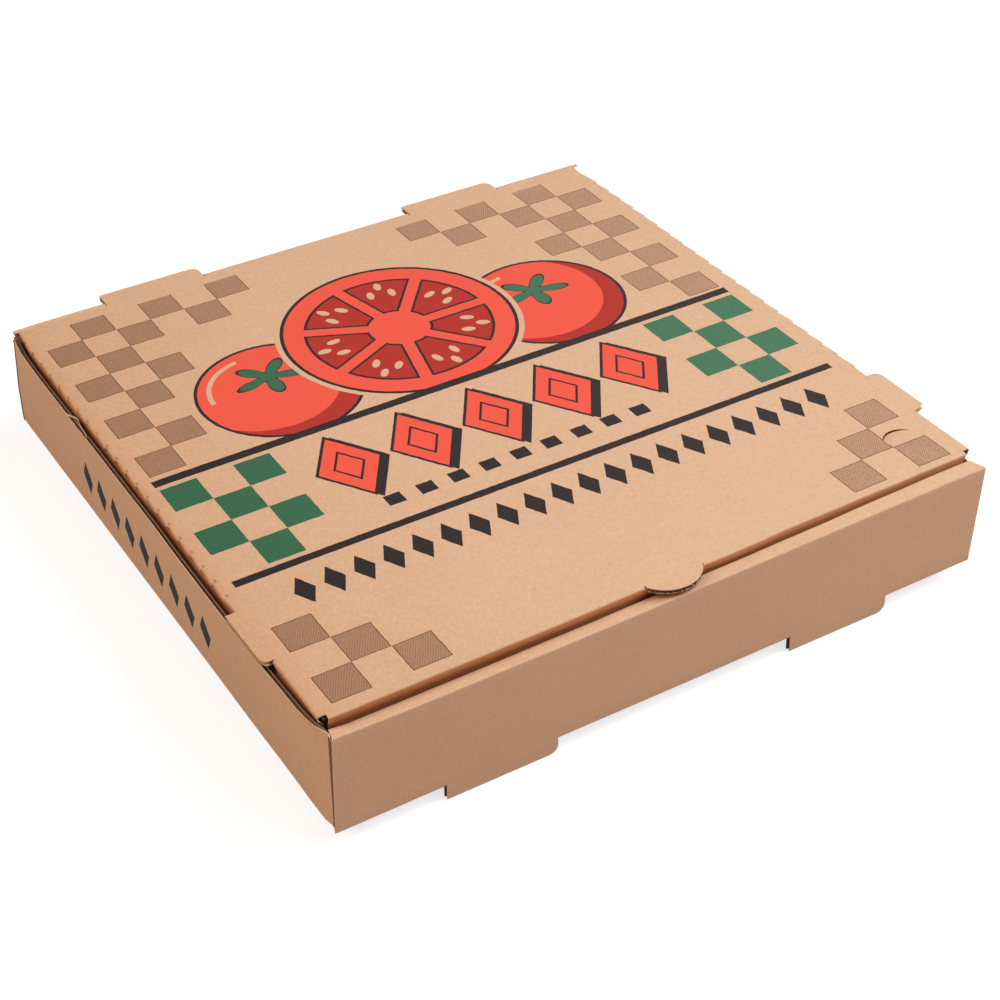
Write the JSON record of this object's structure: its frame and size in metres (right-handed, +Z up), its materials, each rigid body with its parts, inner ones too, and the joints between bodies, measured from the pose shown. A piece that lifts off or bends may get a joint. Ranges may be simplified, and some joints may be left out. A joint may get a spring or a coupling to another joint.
{
  "type": "pizza box",
  "caption": "Closed pizza box folded from a sheet of corrugated board, with a hinged tuck-in lid, a rolled front wall, feet, vent tabs and a half-round steam vent.",
  "frame": {"origin": "on the ground under the feet, in the middle of the closed box with its tabs", "axes": "+Z up through the lid, -Y out of the front wall with the thumb tab, +X to the right seen from the front"},
  "size_m": [0.3678, 0.3804, 0.0676],
  "materials": {
    "kraft_board": "matt"
  },
  "bodies": {
    "tray": {"tray": "kraft_board"},
    "lid": {"lid": "kraft_board"}
  },
  "joints": [
    {"name": "lid_hinge", "type": "hinge", "parent": "tray", "child": "lid", "pos_m": [0, 0.18175, 0.0676], "axis": [-1, 0, 0], "range_deg": [0, 180]}
  ]
}
